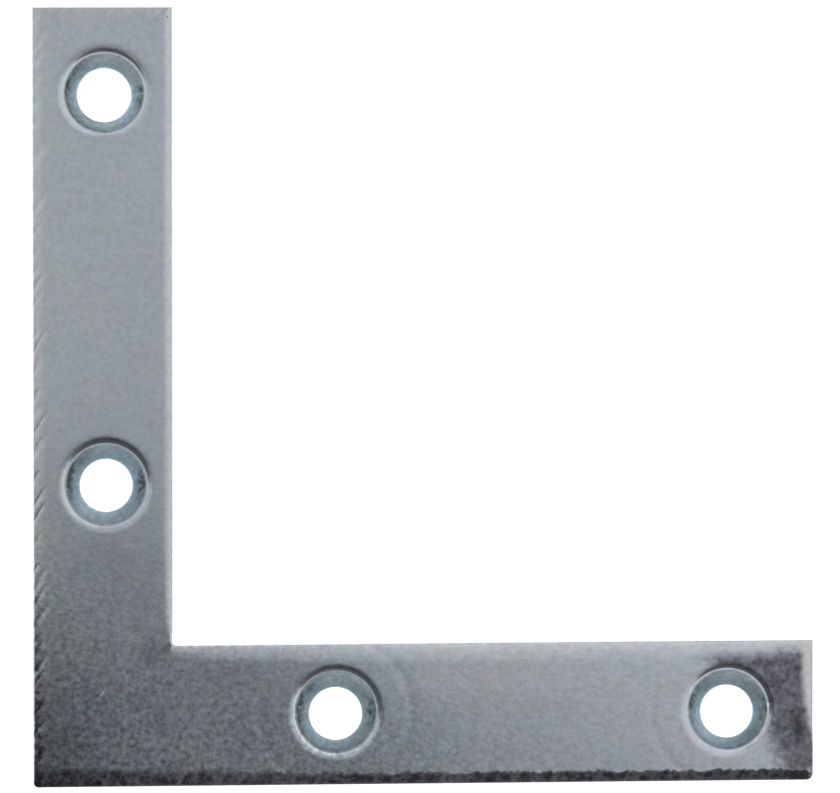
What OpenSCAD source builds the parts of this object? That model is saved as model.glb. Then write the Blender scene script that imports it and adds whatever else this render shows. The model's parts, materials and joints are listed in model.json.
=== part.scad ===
// Flat corner brace: one L-shaped plate blanked from zinc-plated sheet steel.
//
// It lies on its back face at Z = 0, with one leg along +X and the other along +Y.
// The origin is on the back face, where the two rows of screw holes cross.
// The screws go in from +Z, the face that the blanking die rolled over at its edges.

/* [Plate] */
// Outside length of each leg
leg_len = 75; // [60:1:120]
// Width of each leg
leg_w = 13.5; // [13:0.1:20]
// Thickness of the sheet
sheet_t = 2; // [1.8:0.1:3]
// Outside edge of the X leg to its row of holes
x_leg_row = 6.82; // [6.3:0.02:7.2]
// Outside edge of the Y leg to its row of holes
y_leg_row = 6.98; // [6.3:0.02:7.2]

/* [Corners] */
// Radius inside the angle of the two legs
inner_r = 0.3; // [0.2:0.05:1]
// Radius on the heel, where the two legs meet outside
heel_r = 0.45; // [0.2:0.05:1]
// Radius on the outside corner of the X leg's end
toe_r = 0.7; // [0.2:0.05:1]
// Radius on the three other corners
tip_r = 0.2; // [0.2:0.05:1]

/* [Sheared edge] */
// Width of the edge that the die rolled over
roll_w = 1; // [0.8:0.05:1.3]
// Depth of the rolled edge at the side wall
roll_d = 0.45; // [0.35:0.05:0.6]
// Height of the torn part of the side wall, above the back face
tear_h = 0.9; // [0.5:0.1:1.1]
// How far the torn wall leans in at the back face
tear_in = 0.1; // [0.05:0.01:0.15]

/* [Screw holes] */
// Diameter of the straight hole
hole_d = 5.05; // [4.5:0.05:5.5]
// Diameter of the countersink at its rim
sink_d = 7.6; // [7.2:0.1:7.8]
// Angle of the countersink, side to side
sink_angle = 90; // [82:1:100]
// End of a leg to the centre of its first hole
end_gap = 8.5; // [7:0.05:12]
// First hole of a leg to its second
hole_gap = 37.65; // [20:0.05:42]
// Width of the ring of face that the countersink punch drew down
draw_w = 0.9; // [0.7:0.05:1.1]
// Depth of that ring at the rim
draw_d = 0.12; // [0.08:0.01:0.2]

/* [Hidden] */

$fn = 96;
over = 1;         // how far the blank and its cutters reach past the finished edge
lead_angle = 5;   // slope at which the rolled edge leaves the flat face
wall_angle = 10;  // lean of the rolled edge where it meets the side wall
ring_angle = 3;   // slope at which the drawn-down ring leaves the flat face
zinc = [0.62, 0.65, 0.69];

// Corners of the outline, anticlockwise from the heel, and the radius at each.
x_end = leg_len - y_leg_row;
y_end = leg_len - x_leg_row;
x_in = leg_w - y_leg_row;
y_in = leg_w - x_leg_row;
corners = [
    [-y_leg_row, -x_leg_row], [x_end, -x_leg_row], [x_end, y_in],
    [x_in, y_in], [x_in, y_end], [-y_leg_row, y_end]
];
radii = [heel_r, toe_r, tip_r, inner_r, tip_r, tip_r];
angle_corner = 3; // the one inside the angle, where the outline turns the other way

// Direction of the side that starts at corner i.
function heading(i) = let (run = corners[(i + 1) % len(corners)] - corners[i]) atan2(run[1], run[0]);

// Two holes in each leg, on the rows that cross at the origin.
first_x = x_end - end_gap;
first_y = y_end - end_gap;
hole_places = [[first_x, 0], [first_x - hole_gap, 0], [0, first_y], [0, first_y - hole_gap]];

// Rolled edge in section: a wide crown arc down from the face, then a small nose arc to the wall.
wall_top = sheet_t - roll_d;
crown_r = 2.4 * roll_w;
crown_x = roll_w + crown_r * sin(lead_angle);
crown_z = sheet_t - crown_r * cos(lead_angle);
nose_w = 0.22 * roll_w;
nose_h = crown_z + sqrt(pow(crown_r, 2) - pow(crown_x - nose_w, 2)) - wall_top;
nose_r = (pow(nose_w, 2) + pow(nose_h, 2)) / 2
    / (nose_w * cos(wall_angle) - nose_h * sin(wall_angle));
nose_x = nose_r * cos(wall_angle);
nose_z = wall_top - nose_r * sin(wall_angle);

// Drawn-down ring in section: one arc that is draw_d below the face at the rim.
ring_r = (pow(draw_w, 2) + pow(draw_d, 2)) / 2
    / (draw_d * cos(ring_angle) - draw_w * sin(ring_angle));
rim_z = sheet_t - draw_d;

// All that lies outside the sheared edge, in section: +X points into the plate, +Y is up.
module edge_waste(reach) {
    tear_slope = tear_in / tear_h;
    translate([-reach, -over]) square([reach, sheet_t + 2 * over]);
    polygon([[-over / 2, tear_h], [0, tear_h], [tear_slope * (tear_h + over), -over], [-over / 2, -over]]);
    difference() {
        translate([-over / 2, wall_top]) square([over / 2 + roll_w, roll_d + over]);
        intersection() {
            translate([crown_x, crown_z]) circle(crown_r);
            union() {
                translate([nose_x, nose_z]) circle(nose_r);
                translate([nose_x, 0]) square([roll_w + over, sheet_t + over]);
            }
        }
    }
}

// The waste along the side that starts at corner i, with the plate on its left.
module side_waste(i) {
    from = corners[i];
    to = corners[(i + 1) % len(corners)];
    // A side stops short of the arc inside the angle, and runs out past every other corner.
    past_start = i == angle_corner ? -inner_r : over;
    past_end = i + 1 == angle_corner ? -inner_r : over;
    translate([from[0], from[1], 0])
        rotate([0, 0, heading(i)])
            translate([-past_start, 0, 0])
                rotate([90, 0, 90])
                    linear_extrude(norm(to - from) + past_start + past_end) edge_waste(2 * over);
}

// A quarter turn of the edge about a corner's own centre, from 180 to 270 degrees.
module quarter_waste(r, inside) {
    rotate([0, 0, 180]) rotate_extrude(angle = 90) intersection() {
        translate([r, 0]) mirror([inside ? 0 : 1, 0]) edge_waste(2 * over);
        translate([0, -over]) square([r + 2 * over, sheet_t + 2 * over]);
    }
}

// The waste round corner i: outside the arc of an outer corner, or within the one in the angle.
module corner_waste(i) {
    r = radii[i];
    if (i == angle_corner) {
        translate([x_in + r, y_in + r, 0]) quarter_waste(r, true);
    } else {
        translate([corners[i][0], corners[i][1], 0])
            rotate([0, 0, heading(i)])
                translate([r, r, 0]) quarter_waste(r, false);
    }
}

// The strip that the die shears away all round the plate.
module sheared_waste() {
    for (i = [0 : len(corners) - 1]) {
        side_waste(i);
        corner_waste(i);
    }
}

// An L a little larger than the finished plate.
module blank() {
    linear_extrude(sheet_t) translate(corners[0] - [over / 2, over / 2]) {
        square([leg_len + over, leg_w + over]);
        square([leg_w + over, leg_len + over]);
    }
}

// One screw hole: the straight hole, its coned seat, and the ring drawn down round the rim.
module screw_hole() {
    rim_r = sink_d / 2;
    hole_r = hole_d / 2;
    flare = tan(sink_angle / 2);
    seat_h = (rim_r - hole_r) / flare;
    translate([0, 0, -over]) cylinder(h = sheet_t + 2 * over, r = hole_r);
    translate([0, 0, rim_z - seat_h])
        cylinder(h = seat_h + over, r1 = hole_r, r2 = rim_r + over * flare);
    rotate_extrude() difference() {
        translate([0, rim_z - draw_d]) square([rim_r + draw_w, 2 * draw_d + over]);
        translate([rim_r + draw_w + ring_r * sin(ring_angle), sheet_t - ring_r * cos(ring_angle)])
            circle(ring_r);
    }
}

module corner_plate() {
    color(zinc) difference() {
        blank();
        sheared_waste();
        for (p = hole_places) translate([p[0], p[1], 0]) screw_hole();
    }
}

corner_plate();
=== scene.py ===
"""The looks of a flat corner brace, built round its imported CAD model. The plate is worked in millimetres
and finished in metres, as the frame is. The floor, the light and the camera are in metres."""

import json
import math

import bpy
import numpy as np
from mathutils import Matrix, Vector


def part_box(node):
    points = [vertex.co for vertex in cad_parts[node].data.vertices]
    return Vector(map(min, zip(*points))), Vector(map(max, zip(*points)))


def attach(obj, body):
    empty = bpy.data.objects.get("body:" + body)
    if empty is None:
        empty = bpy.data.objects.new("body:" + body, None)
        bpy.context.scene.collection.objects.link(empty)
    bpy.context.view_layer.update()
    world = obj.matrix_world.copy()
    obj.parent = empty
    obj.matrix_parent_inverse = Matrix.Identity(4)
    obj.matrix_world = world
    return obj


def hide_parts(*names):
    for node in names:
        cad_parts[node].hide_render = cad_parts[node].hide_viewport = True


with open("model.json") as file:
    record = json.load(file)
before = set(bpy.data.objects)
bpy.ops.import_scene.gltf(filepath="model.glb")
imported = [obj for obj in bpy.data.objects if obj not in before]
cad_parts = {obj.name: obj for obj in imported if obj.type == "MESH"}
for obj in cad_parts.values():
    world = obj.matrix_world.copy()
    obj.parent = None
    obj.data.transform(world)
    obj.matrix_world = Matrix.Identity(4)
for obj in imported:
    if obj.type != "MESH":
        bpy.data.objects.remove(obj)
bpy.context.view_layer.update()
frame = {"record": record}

# ---------------------------------------------------------------------------------------------------
# Corner plate. One flat L of 2 mm mild steel, blanked in a press, punched and countersunk from the
# front in the same press, then zinc plated in a barrel. The shear rolls the front edges over, and the
# countersink punch draws a ring of the face down with it.

MM = 0.001
low, high = (np.array(corner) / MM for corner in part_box("corner_plate"))
bores = [mount for mount in frame["record"]["mounts"] if mount["kind"] == "bore"]
holes = np.array([bore["pos_m"][:2] for bore in bores]) / MM
sheet_t = high[2]
leg_w = 13.5
notch = low[:2] + leg_w  # the corner inside the angle of the legs
roll_w = 1.3             # how far in from its side a rolled edge needs the closest mesh
hair = 1e-4              # points nearer than this are on the same line

# The mesh lines: evenly over the flat face, and at these distances in from a sheared side.
fine = 0.3125
edge_lines = [0, 0.04, 0.09, 0.15, 0.22, 0.3, 0.4, 0.52, 0.66, 0.82, 1.0, 1.2, 1.42, 1.66, 1.9, 2.15]
worn_lines = [0, 0.04, 0.09, 0.15, 0.22] + [0.3 + 0.085 * i for i in range(12)] + [1.4, 1.66, 1.9]
angle_lines = [0.06, 0.12, 0.18, 0.24, 0.3]
patch = 16 * fine  # half the square of mesh that each screw hole takes the place of


def ruled(marks):
    """Mesh lines on every mark, and evenly between them no further apart than fine."""
    marks = np.unique(np.round(marks, 6))
    lines = []
    for start, end in zip(marks, marks[1:]):
        gaps = int(np.ceil((end - start) / fine - hair))
        lines.append(np.linspace(start, end, gaps + 1)[:-1])
    return np.append(np.concatenate(lines), marks[-1])


def across(axis):
    """The lines that one axis needs: close to the sheared sides, and round each screw hole."""
    edges, worn = np.array(edge_lines), np.array(worn_lines)
    marks = [low[axis] + worn, notch[axis] - edges, high[axis] - edges, notch[axis] + np.array(angle_lines)]
    marks += [row + np.array([-patch, patch]) for row in holes[:, axis]]
    return ruled(np.concatenate(marks))


def points(piece):
    """The piece's vertices as an array with a row for each."""
    found = np.empty(len(piece.data.vertices) * 3)
    piece.data.vertices.foreach_get("co", found)
    return found.reshape(-1, 3)


def place(piece, to):
    """Moves the piece's vertices to these points."""
    piece.data.vertices.foreach_set("co", to.ravel())
    piece.data.update()


def pick(piece, kind, chosen):
    """Opens the piece in edit mode with only these of its EDGE or FACE items selected."""
    bpy.ops.object.mode_set(mode="EDIT")
    bpy.ops.mesh.select_mode(type=kind)
    bpy.ops.mesh.select_all(action="DESELECT")
    bpy.ops.object.mode_set(mode="OBJECT")
    items = {"EDGE": piece.data.edges, "FACE": piece.data.polygons}[kind]
    items.foreach_set("select", chosen)
    bpy.ops.object.mode_set(mode="EDIT")


def edges_of(piece):
    """For each edge: its two end points, and whether it is on an open border."""
    mesh = piece.data
    ends = np.empty(len(mesh.edges) * 2, int)
    mesh.edges.foreach_get("vertices", ends)
    used = np.empty(len(mesh.loops), int)
    mesh.loops.foreach_get("edge_index", used)
    border = np.bincount(used, minlength=len(mesh.edges)) == 1
    return points(piece)[ends.reshape(-1, 2)], border


def from_side(at):
    """Distance of each point from the nearest sheared side, taking every corner as square."""
    x, y = at[:, 0], at[:, 1]
    outer = np.minimum.reduce([x - low[0], y - low[1], high[0] - x, high[1] - y])
    return np.minimum(outer, np.maximum(notch[0] - x, notch[1] - y))


# The face: a grid cut to the L, with a square left out for each hole.
bpy.ops.object.select_all(action="DESELECT")
xs, ys = across(0), across(1)
bpy.ops.mesh.primitive_grid_add(x_subdivisions=len(xs) - 1, y_subdivisions=len(ys) - 1, size=1)
plate = bpy.context.object
plate.name = "zinc_corner_plate"
at = points(plate)
columns = np.rint((at[:, 0] + 0.5) * (len(xs) - 1)).astype(int)
rows = np.rint((at[:, 1] + 0.5) * (len(ys) - 1)).astype(int)
place(plate, np.stack([xs[columns], ys[rows], np.full(len(at), sheet_t)], 1))

centres = np.empty(len(plate.data.polygons) * 3)
plate.data.polygons.foreach_get("center", centres)
centres = centres.reshape(-1, 3)[:, :2]
cut_out = (centres > notch).all(1)
for hole in holes:
    cut_out |= (np.abs(centres - hole) < patch).all(1)
pick(plate, "FACE", cut_out)
bpy.ops.mesh.delete(type="FACE")
bpy.ops.object.mode_set(mode="OBJECT")

# Two or three times as many faces along the rolled edges, most along the two worn outer sides.
for cuts, on_worn in ((1, False), (2, True)):
    ends, _ = edges_of(plate)
    inset = from_side(ends.reshape(-1, 3)).reshape(-1, 2)
    length = np.abs(ends[:, 0] - ends[:, 1]).max(1)
    along_side = (np.ptp(inset, axis=1) < hair) & (inset[:, 0] < roll_w) & (length > 0.6 * fine)
    worn = (ends[:, :, :2].min(1) - low[:2]).min(1) < roll_w
    pick(plate, "EDGE", along_side & (worn == on_worn))
    bpy.ops.mesh.subdivide(number_cuts=cuts)
    bpy.ops.object.mode_set(mode="OBJECT")

# The side wall: the outline drawn down to the back in rows, close where the shear gave way to tearing.
ends, border = edges_of(plate)
outline = border & (from_side(ends.reshape(-1, 3)).reshape(-1, 2) < hair).all(1)
pick(plate, "EDGE", outline)
for step_down in np.diff([sheet_t, 1.2, 0.94, 0.86, 0.5, 0.1, 0]):
    bpy.ops.mesh.extrude_region_move(TRANSFORM_OT_translate={"value": (0, 0, step_down)})
bpy.ops.object.mode_set(mode="OBJECT")

# One screw hole as rings of radius and height, from the outside in: the ring of face drawn down to a
# flat lip, the 90 degree cone, and the straight hole, which opens a little at the back.
rim_r, hole_r = 3.8, bores[0]["dims"]["r_mm"]
lip_r, lip_z = 4.03, sheet_t - 0.12
ring_w = 0.74
rings = []
for share in np.linspace(1, 0, 13) ** 1.3:
    rings.append((lip_r + ring_w * share, sheet_t - (sheet_t - lip_z) * (1 - share) ** 3))
rings += [(r, lip_z) for r in (3.97, 3.9, 3.84, rim_r)]
rings += [(r, lip_z - (rim_r - r)) for r in (3.74, 3.65, 3.55, 3.4, 3.25, 3.1, 2.95, 2.8, 2.68, 2.58)]
rings += [(hole_r + 0.01, lip_z - (rim_r - hole_r) - 0.01), (hole_r, 0.5), (hole_r, 0.2)]
rings += [(hole_r + 0.02, 0.06), (hole_r + 0.07, 0)]
bpy.ops.object.select_all(action="DESELECT")
around = int(8 * patch / fine)
bpy.ops.mesh.primitive_circle_add(vertices=around, radius=rings[0][0], location=(0, 0, rings[0][1]))
seat = bpy.context.object
bpy.ops.object.transform_apply()
bpy.ops.object.mode_set(mode="EDIT")
for (r, z), (next_r, next_z) in zip(rings, rings[1:]):
    bpy.ops.mesh.extrude_region_move(TRANSFORM_OT_translate={"value": (0, 0, next_z - z)})
    bpy.ops.transform.resize(value=(next_r / r, next_r / r, 1), center_override=(0, 0, 0))
bpy.ops.object.mode_set(mode="OBJECT")

# A copy of it goes into each square, and is bridged to the square's border.
seats = [seat]
for hole in holes[1:]:
    bpy.ops.object.duplicate()
    seats.append(bpy.context.object)
for hole, copied in zip(holes, seats):
    copied.location = (*hole, 0)
    copied.select_set(True)
bpy.ops.object.transform_apply()
plate.select_set(True)
bpy.context.view_layer.objects.active = plate
bpy.ops.object.join()
for hole in holes:
    ends, border = edges_of(plate)
    around_hole = (np.abs(ends[:, :, :2] - hole) < patch + 1e-3).all((1, 2))
    on_face = (ends[:, :, 2] > sheet_t - 1e-3).all(1)
    pick(plate, "EDGE", border & around_hole & on_face)
    bpy.ops.mesh.bridge_edge_loops(number_cuts=5, interpolation="LINEAR")
    bpy.ops.object.mode_set(mode="OBJECT")

# The back, and the right way out for every face.
_, border = edges_of(plate)
pick(plate, "EDGE", border)
bpy.ops.mesh.fill()
bpy.ops.mesh.select_all(action="SELECT")
bpy.ops.mesh.remove_doubles(threshold=1e-5)
bpy.ops.mesh.normals_make_consistent(inside=False)
bpy.ops.object.mode_set(mode="OBJECT")

# What the press and the barrel did to the even form, as moves of its points: x, y and z are views of
# at, so what is added to them moves it. Two values are laid on the points with them. The first is below 0
# where the skin is blotched with dirt or bare steel or darkened by painted shade, and above 0 where it is
# rubbed bright or lit by a painted highlight. The second is painted light and shade on and round the
# seats, with a lighter patch on the X leg.
roll_d = 0.45  # depth of a rolled edge at the side wall
wall_top = sheet_t - roll_d
at = points(plate)
inset = from_side(at)
x, y, z = at.T
over_seat = [np.hypot(x - hole[0], y - hole[1]) for hole in holes]
seat_r = np.minimum.reduce(over_seat)
face = (z > wall_top) & (seat_r > rim_r)
above_back = z > 0.3
mark = np.zeros(len(at))
wash = np.ones(len(at))
random = np.random.default_rng(5)


def fade(distance, reach):
    """1 at no distance, falling evenly to 0 at this reach."""
    return np.clip(1 - distance / reach, 0, 1)


def bell(distance, width):
    """1 at no distance, falling softly both ways, to about a third at this width."""
    return np.exp(-((distance / width) ** 2))


def roll(distance, depth, reach):
    """How far the shear pulled a side down: a soft slope that ends in a tight nose at the side wall."""
    return depth * fade(distance, reach) ** 3 + (roll_d - depth) * fade(distance, 0.3) ** 3


# The inner side of the Y leg has a short roll that dies out in the angle, and that of the X leg a long
# one. The outer sides roll evenly.
in_y_leg, in_x_leg = np.clip(notch - at[:, :2], 0, None).T
to_angle = np.maximum(notch[0] - x, notch[1] - y)
y_share = in_y_leg**2 / (in_y_leg**2 + in_x_leg**2 + 1e-9)
y_roll = roll(to_angle, 0.2 * (1 - fade(y - notch[1], 3.5)), 1.3)
x_reach = 2.4 - 0.4 * fade(x - notch[0], 22) - 0.6 * fade(x - notch[0], 3)
x_roll = roll(to_angle, 0.25 - 0.12 * fade(x - notch[0], 22), x_reach)
drop = y_share * y_roll + (1 - y_share) * x_roll
for distance, reach in ((x - low[0], 1.6), (high[0] - x, 1.4), (high[1] - y, 1.3)):
    drop = np.maximum(drop, roll(distance, 0.2, reach))

# The front side was sheared last: a bevel with an uneven inner line, crossed by slanting ridges, and an
# arris below it. Painted shade darkens the bevel, painted highlights lie along its ridges, and the arris
# carries a painted highlight.
slant = 1 / math.tan(math.radians(60))
run = x - (y - low[1]) * slant
knots = np.arange(low[0] - 2, high[0] + 2, 0.32)
uneven = np.interp(run, knots, random.uniform(-0.18, 0.18, len(knots)))
bevel = fade(y - low[1], 1.05 + 0.75 * fade(x - low[0], 28) ** 1.2 + uneven)
ridge = np.zeros(len(at))
for start in low[0] + np.cumsum(random.uniform(0.5, 3.2, 80)):
    height, width = random.uniform(0.1, 0.7), random.uniform(0.08, 0.3)
    ridge = np.maximum(ridge, height * bell(run - start, width))
drop = np.maximum(drop, roll_d * bevel**1.4 * (1 - 0.3 * ridge))
# Painted shade on the bevel, a little less round x = 12 mm, and painted highlights along its ridges.
bevel_shade = 0.42 - 0.12 * bell(x - 12, 9)
mark += np.where(face & (bevel > 0), 0.85 * ridge - bevel_shade * np.clip(bevel * 4, 0, 1), 0)
# The arris below the bevel: a painted highlight.
mark += 0.5 * bell(y - low[1], 0.16) * (x > low[0] + 1) * (z > 1)
z -= np.where(face, drop, 0)

# Painted highlights lie along the other arrises, brighter away from the heel, and the roll up the left
# side is darker towards the heel.
from_heel = np.clip((x - low[0] + y - low[1]) / 25, 0, 1)
mark += 0.3 * from_heel * bell(inset, 0.16) * ((z > 1) & (y > low[1] + 1))
mark += 0.09 * bell(to_angle, 0.42) * ((z > 1) & (y < notch[1] + 1e-3) & (x > notch[0]))
mark -= 0.7 * fade(y - low[1], 19) ** 0.7 * bell(x - low[0] - 0.4, 0.45) * above_back

# The plate is not quite flat: a slow buckle of a few hundredths.
buckle = np.sin(x / 7.1 + 1.3) * np.sin(y / 8.3 + 0.4) + 0.6 * np.sin((x + y) / 4.7)
z -= np.where(z > 0.5, 0.012 * (1.6 + buckle) * fade(1 - inset, 1), 0)

# A light patch near the inner side of the X leg.
wash += 0.13 * bell(x - 33, 9) * bell(y - 3.2, 1.5)

# The pressure pad left a faint ring round the two holes of the X leg.
for pad_r in over_seat[:2]:
    z -= np.where(face, 0.012 * bell(pad_r - 7.3, 0.35), 0)

# Each seat sits a little off its place, and its straight hole is a little off the seat and a little
# narrower or wider. The lip is rubbed bright and carries a painted highlight, strongest on its far side.
# Painted shade darkens the drawn-down ring outside the lip's far side, with some dirt, and on two seats a
# little of the ring on the near side. The cone is smeared left and right. Painted light lies on the cone's
# upper right flank, and on most seats painted shade at the lower left and the lower right. The rows are in
# the mounts' order: the end and the inner hole of the X leg, then the inner and the end hole of the Y leg.
press_faults = [
    {"seat": (0.1, 0.01), "hole": (0.03, -0.25), "wider": -0.015, "lip_rub_and_highlight": 0.34, "far_ring_shade_and_dirt": 0.12,
     "near_ring_shade": 0, "smear": 0.4, "light": 0.6, "shade_lower_left": 0.26, "shade_lower_right": 0.4},
    {"seat": (0.09, 0.12), "hole": (-0.07, -0.24), "wider": -0.015, "lip_rub_and_highlight": 0.9, "far_ring_shade_and_dirt": 0.38,
     "near_ring_shade": 0.1, "smear": 0.6, "light": 0.6, "shade_lower_left": 0.38, "shade_lower_right": 0.3},
    {"seat": (0.04, 0.02), "hole": (-0.08, -0.06), "wider": -0.015, "lip_rub_and_highlight": 0.36, "far_ring_shade_and_dirt": 0.48,
     "near_ring_shade": 0, "smear": 0.6, "light": 0.2, "shade_lower_left": -0.06, "shade_lower_right": 0.14},
    {"seat": (0, 0.06), "hole": (-0.12, -0.03), "wider": 0.06, "lip_rub_and_highlight": 0.38, "far_ring_shade_and_dirt": 0.5,
     "near_ring_shade": 0.05, "smear": 0.45, "light": 0.65, "shade_lower_left": 0.46, "shade_lower_right": 0.18},
]


def facing(turn, degrees):
    """1 on the side that faces this way, falling to 0 a quarter turn from it."""
    return np.clip(np.cos(turn - math.radians(degrees)), 0, 1)


for hole, r, fault in zip(holes, over_seat, press_faults):
    turn = np.arctan2(y - hole[1], x - hole[0])
    in_cone = (r < rim_r) & (r > hole_r - 0.1)
    # Painted light on the cone's upper right flank, and painted shade at its lower left and lower right.
    flank_light_and_shade = fault["light"] * facing(turn, 48)
    flank_light_and_shade -= fault["shade_lower_left"] * facing(turn, 232) ** 2
    flank_light_and_shade -= fault["shade_lower_right"] * facing(turn, 308) ** 2
    wash += flank_light_and_shade * (in_cone & above_back)
    smears = facing(turn, 0) ** 14 * bell(r - 3.42, 0.42)
    smears += facing(turn, 164) ** 6 * bell(r - 3.58, 0.34)
    mark -= fault["smear"] * smears * (in_cone & above_back)

    # Painted shade on the drawn-down ring at the lower left of the lip.
    wash -= fault["near_ring_shade"] * facing(turn, 230) ** 0.5 * bell(r - 4.45, 0.35)
    # The lip: rubbed bright, and a painted highlight that is strongest on its far side.
    far = facing(turn, 75)
    mark += (fault["lip_rub_and_highlight"] + 0.1 * far) * bell(r - 3.95 - 0.1 * far, 0.11)
    # Painted shade on the ring outside the lip's far side; its darker inner line is blotched with dirt.
    gap, far_ring_shade_and_dirt = r - 4.42, fault["far_ring_shade_and_dirt"] * facing(turn, 80) ** 1.1
    wash -= 0.7 * far_ring_shade_and_dirt * bell(gap, np.where(gap > 0, 0.42, 0.2))
    mark -= 0.3 * far_ring_shade_and_dirt * bell(gap, 0.18)

    bored = np.where(in_cone, fade(r - hole_r, 1.1), 0)
    pressed = fade(r - 4.3, 1.2)
    x += (fault["hole"][0] + fault["wider"] * np.cos(turn)) * bored + fault["seat"][0] * pressed
    y += (fault["hole"][1] + fault["wider"] * np.sin(turn)) * bored + fault["seat"][1] * pressed

# Slanting drag marks up the left side: each is a groove with painted shade in it, darkest by the heel,
# and a painted highlight beside it for a burr.
for climb in np.cumsum(random.uniform(0.9, 3.2, 40)):
    length, width = random.uniform(0.9, 3), random.uniform(0.1, 0.24)
    depth, groove_shade = random.uniform(0.01, 0.035), random.uniform(0.15, 0.7) * (0.3 + fade(climb, 50))
    turn = math.radians(random.uniform(50, 64))
    dx, dy = x - low[0], y - low[1] - climb
    along = dx * math.cos(turn) + dy * math.sin(turn)
    beside = dy * math.cos(turn) - dx * math.sin(turn)
    trail = np.where(face & (along > -0.3), fade(along, length) ** 0.5, 0)
    groove, burr_highlight = (bell(beside + offset, width) * trail for offset in (0, 2 * width))
    z -= depth * groove
    # Painted shade in the groove, and a painted highlight beside it for the burr.
    mark += 0.14 * burr_highlight - groove_shade * groove * fade(dx, 0.9)

# The lower half of the side wall is torn and leans in, and its arris at the back is broken.
tear_h, tear_in, back_arris = 0.9, 0.1, 0.03
torn = (inset < hair) & (z < tear_h)
lean = np.where(torn, tear_in * (1 - z / tear_h) + back_arris * (z < 0.05), 0)
left = np.abs(x - low[0]) < hair
right = (np.abs(x - high[0]) < hair) | ((np.abs(x - notch[0]) < hair) & (y > notch[1] - hair))
front = np.abs(y - low[1]) < hair
back = (np.abs(y - high[1]) < hair) | ((np.abs(y - notch[1]) < hair) & (x > notch[0] - hair))
x += lean * (left.astype(float) - right)
y += lean * (front.astype(float) - back)

# Corners: every square row of points is drawn onto an arc about the corner's centre. Each corner has its
# place, the ways into the plate from it, and its radius, which is below 0 for the one inside the angle.
corners = [
    (low[0], low[1], 1, 1, 0.45),
    (high[0], low[1], -1, 1, 0.7),
    (high[0], notch[1], -1, -1, 0.2),
    (low[0], high[1], 1, -1, 0.2),
    (notch[0], high[1], -1, -1, 0.2),
    (notch[0], notch[1], -1, -1, -0.3),
]
for corner_x, corner_y, to_x, to_y, radius in corners:
    dx, dy = (x - corner_x) * to_x - radius, (y - corner_y) * to_y - radius
    if radius > 0:
        ahead_x, ahead_y, share = -dx, -dy, 1.0
    else:
        ahead_x, ahead_y, share = dx, dy, fade(np.maximum(dx, dy) - 1, 1.2)
    square = np.maximum(ahead_x, ahead_y)
    round_r = np.hypot(ahead_x, ahead_y)
    within = (ahead_x > 0) & (ahead_y > 0)
    scale = np.where(within, 1 + share * (square / np.maximum(round_r, 1e-6) - 1), 1)
    x[:] = np.where(within, corner_x + to_x * (radius + dx * scale), x)
    y[:] = np.where(within, corner_y + to_y * (radius + dy * scale), y)

# The inner side of the Y leg flares a tenth each way, and the end of the X leg is cut out of square.
inner_side = fade(np.abs(x - notch[0]), 2.5) * fade(notch[1] - y, 2.5)
x += (0.0036 * (y - notch[1]) - 0.12) * inner_side + 0.0148 * (y - notch[1]) * fade(high[0] - x, 2.5)

place(plate, at * MM)
for name, values in (("mark", mark), ("wash", wash), ("seat_r", seat_r), ("edge", fade(inset, 1.6))):
    plate.data.attributes.new(name, "FLOAT", "POINT").data.foreach_set("value", values)
bpy.ops.object.select_all(action="DESELECT")
plate.select_set(True)
bpy.context.view_layer.objects.active = plate
bpy.ops.object.shade_smooth_by_angle(angle=math.radians(40))


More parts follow.
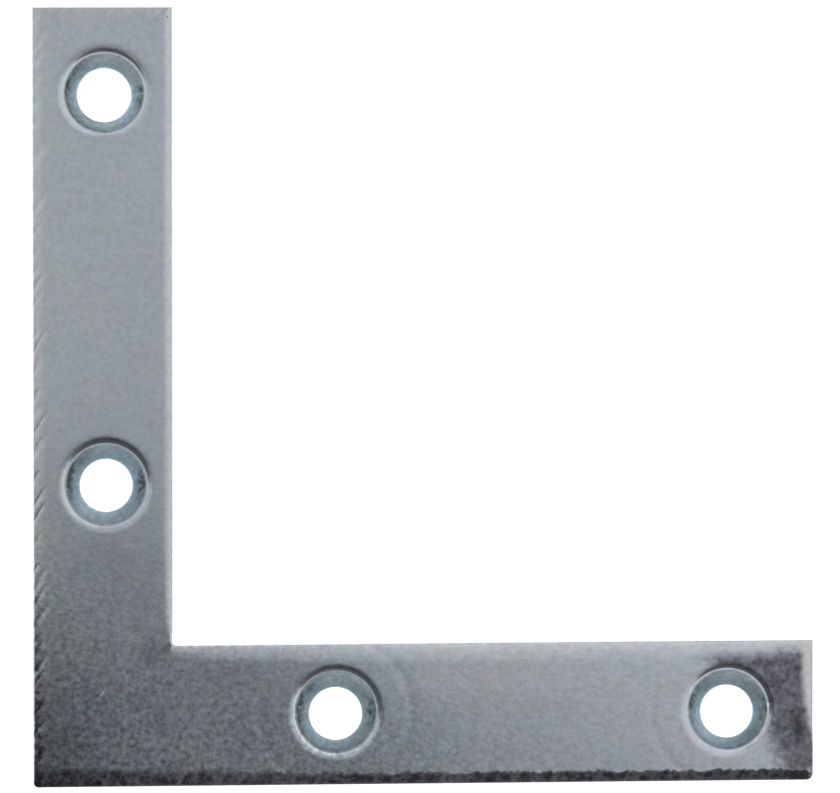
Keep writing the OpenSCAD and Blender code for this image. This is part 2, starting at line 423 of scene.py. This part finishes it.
class Shade:
    """A value in a material's nodes. Arithmetic on it adds Math nodes, and node() adds any other node."""

    def __init__(self, tree, output=None):
        self.tree = tree
        self.output = output

    def node(self, kind, settings=None, inputs=None, out=0):
        """A new node with its settings made first, then its sockets set or linked; gives one output."""
        made = self.tree.nodes.new("ShaderNode" + kind)
        for name, value in (settings or {}).items():
            if name == "stops":
                while len(made.color_ramp.elements) < len(value):
                    made.color_ramp.elements.new(1)
                for element, (position, colour) in zip(made.color_ramp.elements, value):
                    element.position, element.color = position, (*colour, 1)
            else:
                setattr(made, name, value)
        for name, value in (inputs or {}).items():
            if isinstance(value, Shade):
                self.tree.links.new(value.output, made.inputs[name])
            else:
                made.inputs[name].default_value = value
        return Shade(self.tree, made.outputs[out] if made.outputs else None)

    def maths(self, operation, *others):
        """A Math node on this number and the others."""
        return self.node("Math", {"operation": operation}, dict(enumerate((self, *others))))

    def vector(self, operation, *others):
        """A Vector Math node on this vector and the others."""
        return self.node("VectorMath", {"operation": operation}, dict(enumerate((self, *others))))

    def __add__(self, other):
        return self.maths("ADD", other)

    def __sub__(self, other):
        return self.maths("SUBTRACT", other)

    def __rsub__(self, other):
        return self.maths("MULTIPLY_ADD", -1, other)

    def __mul__(self, other):
        return self.maths("MULTIPLY", other)

    __radd__ = __add__
    __rmul__ = __mul__

    def in_mm(self):
        """The place on the piece, in millimetres."""
        place = self.node("TexCoord", None, None, 3)
        return self.node("Mapping", None, {"Vector": place, "Scale": (1 / MM, 1 / MM, 1 / MM)})

    def part(self, axis):
        """This vector's part along one axis: 0, 1 or 2."""
        return self.node("SeparateXYZ", None, {0: self}, axis)

    def length(self):
        """How long this vector is."""
        return self.node("VectorMath", {"operation": "LENGTH"}, {0: self}, 1)

    def step(self, start, end):
        """0 up to the start, 1 past the end, and a soft rise between. The start may be the larger."""
        limits = {"From Min": start, "From Max": end}
        return self.node("MapRange", {"interpolation_type": "SMOOTHSTEP"}, {"Value": self, **limits})

    def tint(self, colour, over):
        """This value as the share of one colour laid over another."""
        return self.node("Mix", {"data_type": "RGBA"}, {0: self, 6: over, 7: (*colour, 1)}, 2)

    def spot(self, x, y, turn, length, width):
        """A soft oval: 1 at this point, falling to 0 at this length one way and this width the other."""
        placed = {"Location": (x, y, 0), "Rotation": (0, 0, math.radians(turn))}
        sized = {"Scale": (length, width, 1000)}
        local = self.node("Mapping", {"vector_type": "TEXTURE"}, {"Vector": self, **placed, **sized})
        return local.length().step(1, 0)

    def noise(self, scale, detail=2.0, roughness=0.5, out=0):
        """Fractal noise read at this vector, with blotches of about 1 / scale."""
        sizes = {"Scale": scale, "Detail": detail, "Roughness": roughness}
        return self.node("TexNoise", None, {"Vector": self, **sizes}, out)


zinc = bpy.data.materials.new("barrel_zinc")
zinc.use_nodes = True
zinc.node_tree.nodes.clear()
shade = Shade(zinc.node_tree)
where = shade.in_mm()
right, forward, up = (where.part(axis) for axis in range(3))
mark, wash, seat_r, edge = (
    shade.node("Attribute", {"attribute_name": name}, None, 2) for name in ("mark", "wash", "seat_r", "edge")
)
in_seat = seat_r.step(rim_r + 0.02, rim_r - 0.02)
off_back = up.step(0, 0.5)

# The zinc's crystals show as flecks, coarse at the heel and in the stain, and fine everywhere else.
flecks = where.noise(1.9, 2, 0.7)
cloud = where.noise(0.16, 2, 0.5)
blotch = where.noise(0.9, 2, 0.6)
hue = where.noise(0.55, 4, 0.65, 1)
heel = (right * 0.45 + forward).step(20, -6)

# Past the last hole of the X leg the zinc is stained, up to the rolled edges.
starts = holes[0][0] + 3.4 - forward.step(1, 5.5) * 6.3 + forward.step(-2, -6) * 1.6
to_end = high[0] - right + forward.step(3.5, -6.5) * 1.35 + blotch * 0.4
to_inside = (right - high[0]) * 0.08 + notch[1] - forward + blotch * 0.8
stain = (right - starts + blotch * 2.4).step(0.2, 3.4) * to_end.step(1, 1.8)
stain = stain * to_inside.step(0.4, 2.2) * seat_r.step(4.1, 4.55) * off_back

# Fine lines from the rolling mill run along the X leg.
milled = where.vector("MULTIPLY", (0.45, 1, 1)).noise(2.3, 2, 0.7)
along_mill = forward.step(24, 8) * right.step(-6, 20)

# How light the zinc is. Its dirt and the painted shade in the marks are broken into blotches, painted
# shade darkens the heel, and the stain is duller.
blotched_dirt_and_shade = mark.maths("MINIMUM", 0) * (where.noise(1.3, 3, 0.7) * 9 - 3.4).maths("MAXIMUM", 0.05)
blotched_dirt_and_shade = blotched_dirt_and_shade.maths("MAXIMUM", -0.68)
coarse = (heel * 0.85 + stain * 0.7) * (1 - in_seat * 0.75) + in_seat * 0.225 + 0.165
# Painted shade darkens the heel; the stain is darker still.
heel_shade_and_stain = right.step(5, -8) * forward.step(14, -4) * 0.36 + stain * (blotch * 0.3 + 0.55) * (blotched_dirt_and_shade + 1)
tone = ((flecks - 0.5) * coarse * 2.5 + (milled - 0.5) * along_mill * 0.36 + 1) * (1 - heel_shade_and_stain)
# The marks' painted highlights lighten it, and the seats' painted light and shade are laid on.
tone = tone * wash * (blotched_dirt_and_shade + mark.maths("MAXIMUM", 0) + 1)

# Marks that the face has of its own: place, turn, reach along and across, and how much lighter it is
# there, or darker where that is below 0.
scars = [
    # scratches and rubs near the angle and along the legs
    (8.4, -4.3, 90, 1.4, 0.14, 0.35),
    (-0.4, 2.05, 52, 0.6, 0.14, 1.3),
    (16.8, -5.2, 40, 1.1, 0.6, 0.15),
    (15.6, -3.4, 120, 2.4, 0.2, 0.2),
    (6.95, 3.9, 91, 2.8, 0.1, 0.14),
    (5.2, 31, -48, 0.9, 0.14, 0.16),
    # three scratches and a pit at the end of the Y leg
    (5, 67.4, 48, 0.9, 0.16, 0.22),
    (0.6, 67.5, 50, 0.7, 0.14, 0.25),
    (-4.2, 67.5, 48, 0.8, 0.14, 0.15),
    (6.1, 67.1, 0, 0.15, 0.15, -0.8),
    # dull patches in the angle and below the inner hole of the Y leg
    (4.4, 6, 15, 3, 2, -0.24),
    (0, 14.8, 0, 5, 3, -0.06),
    # the end of the X leg: a bright chip beside the seat, the darkest of the stain, and a rubbed corner
    (63.55, 0.45, 30, 0.3, 0.22, 1.6),
    (66.4, -1.9, 95, 2.4, 1, -0.62),
    (64.2, 1.5, 75, 2.4, 1, -0.35),
    (62.8, 4.6, 150, 1.6, 0.7, -0.3),
    (67, -5.6, 50, 1.6, 0.7, -0.4),
    (67, -5.9, 60, 2.2, 1.6, 0.5),
]
for scar_x, scar_y, turn, length, width, strength in scars:
    tone = tone * (where.spot(scar_x, scar_y, turn, length, width) * off_back * strength + 1)

# The zinc's colour: cloudy between two greys, with a share of another grey or blue laid over it here and
# there, and a faint play of all colours.
clouds = {"stops": [(0.35, (0.548, 0.64, 0.733)), (0.65, (0.622, 0.66, 0.692))]}
base = shade.node("ValToRGB", clouds, {0: (cloud - 0.5) * (heel * 0.6 + 0.4) + 0.48})
tints = [
    (right.step(-1, -6) * 0.8, (0.594, 0.665, 0.69)),
    (right.step(-1, 3) * right.step(38, 26) * 0.4, (0.572, 0.63, 0.725)),
    (right.step(28, 40) * 0.4, (0.6, 0.638, 0.7)),
    (where.spot(38.5, 4, 0, 15, 6.5) * 0.6, (0.63, 0.648, 0.675)),
    (edge * 0.85, (0.62, 0.648, 0.668)),
    (right.step(66.2, 67.2), (0.645, 0.648, 0.66)),
    # purple over the dirt, the painted shade in the marks, and the stain
    ((blotched_dirt_and_shade * -3 - in_seat).maths("MAXIMUM", stain * 0.85), (0.613, 0.617, 0.725)),
    (in_seat, (0.52, 0.63, 0.70)),
]
for share, colour in tints:
    base = share.tint(colour, base)
base = base.vector("MULTIPLY", hue.vector("MULTIPLY_ADD", (0.2, 0.2, 0.2), (0.9, 0.9, 0.9)))
base = base.node("VectorMath", {"operation": "SCALE"}, {0: base, 3: tone})

bump = shade.node("Bump", None, {"Strength": 1.0, "Distance": 0.001, "Height": flecks * 0.008})
rough = cloud * 0.06 + in_seat * 0.06 + 0.17
skin = {"Base Color": base, "Roughness": rough, "Metallic": 0.72, "Normal": bump}
shade.node("OutputMaterial", None, {"Surface": shade.node("BsdfPrincipled", None, skin)})
plate.data.materials.clear()
plate.data.materials.append(zinc)

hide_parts("corner_plate")
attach(plate, "root")

# ---------------------------------------------------------------------------------------------------
# Floor: a white light table, a tenth of a millimetre below the plate's back.

bpy.ops.mesh.primitive_plane_add(size=4, location=(0.03, 0.03, -0.0001))
floor = bpy.context.object
floor.name = "light_table"
sheet = bpy.data.materials.new("white_sheet")
sheet.use_nodes = True
lit_sheet = sheet.node_tree.nodes["Principled BSDF"]
lit_sheet.inputs["Base Color"].default_value = (0.85, 0.85, 0.85, 1)
lit_sheet.inputs["Roughness"].default_value = 0.9
lit_sheet.inputs["Emission Color"].default_value = (1, 1, 1, 1)
lit_sheet.inputs["Emission Strength"].default_value = 0.9
floor.data.materials.append(sheet)

# ---------------------------------------------------------------------------------------------------
# Soft studio light: one wide softbox overhead with its hottest part over the open side of the L. A flag
# darkens its near side, so the heel of the plate mirrors the dark part.

bpy.ops.mesh.primitive_plane_add(size=4, location=(0, 0, 0.45))
softbox = bpy.context.object
softbox.name = "graded_softbox"
cloth = bpy.data.materials.new("softbox_cloth")
cloth.use_nodes = True
cloth.node_tree.nodes.clear()
light = Shade(cloth.node_tree)
on_cloth = light.in_mm()
right, forward = (on_cloth.part(axis) for axis in range(2))

# The flag's edge slants across the plate's near side, bends back at the left, and is 68 mm soft.
past_flag = (right * 0.59 + forward * 0.807).maths("MAXIMUM", right.step(-42, -80) * 12 + forward - 13)
open_side = (right * 0.8 + forward * 0.6).step(0, 190) * right.step(-10, 60)
hottest = open_side * on_cloth.length().step(900, 500) * 0.38
glow = hottest + right.step(-60, -130) * 0.16 + right.step(5, 55) * 0.06 - right.step(60, 115) * 0.09 + 0.54
lit = light.node("Emission", None, {"Strength": past_flag.step(-34, 34) * glow})
light.node("OutputMaterial", None, {"Surface": lit})
softbox.data.materials.append(cloth)
softbox.visible_camera = False

# The room round the softbox is dim. Its front wall is the lightest, and its back wall the next.
world = bpy.data.worlds.new("studio")
bpy.context.scene.world = world
world.use_nodes = True
room = Shade(world.node_tree)
ahead = room.node("TexCoord").part(1)
walls = ahead * ahead * 0.2 - ahead * 0.1 + 0.16
world.node_tree.links.new(walls.output, world.node_tree.nodes["Background"].inputs["Color"])

# ---------------------------------------------------------------------------------------------------
# Camera: 300 mm above the plate, over the open side of the L near its angle, and aimed midway between
# the heel and the far corner of the square that the legs span.

lens = bpy.data.cameras.new("camera")
lens.lens = 132.89
lens.sensor_width = 36
camera = bpy.data.objects.new("camera", lens)
camera.location = (0.0205, 0.01933, 0.300)
camera.rotation_euler = [math.radians(a) for a in (2.123, -1.85, -0.42)]
bpy.context.scene.collection.objects.link(camera)
bpy.context.scene.camera = camera
bpy.context.scene.view_settings.view_transform = "Standard"
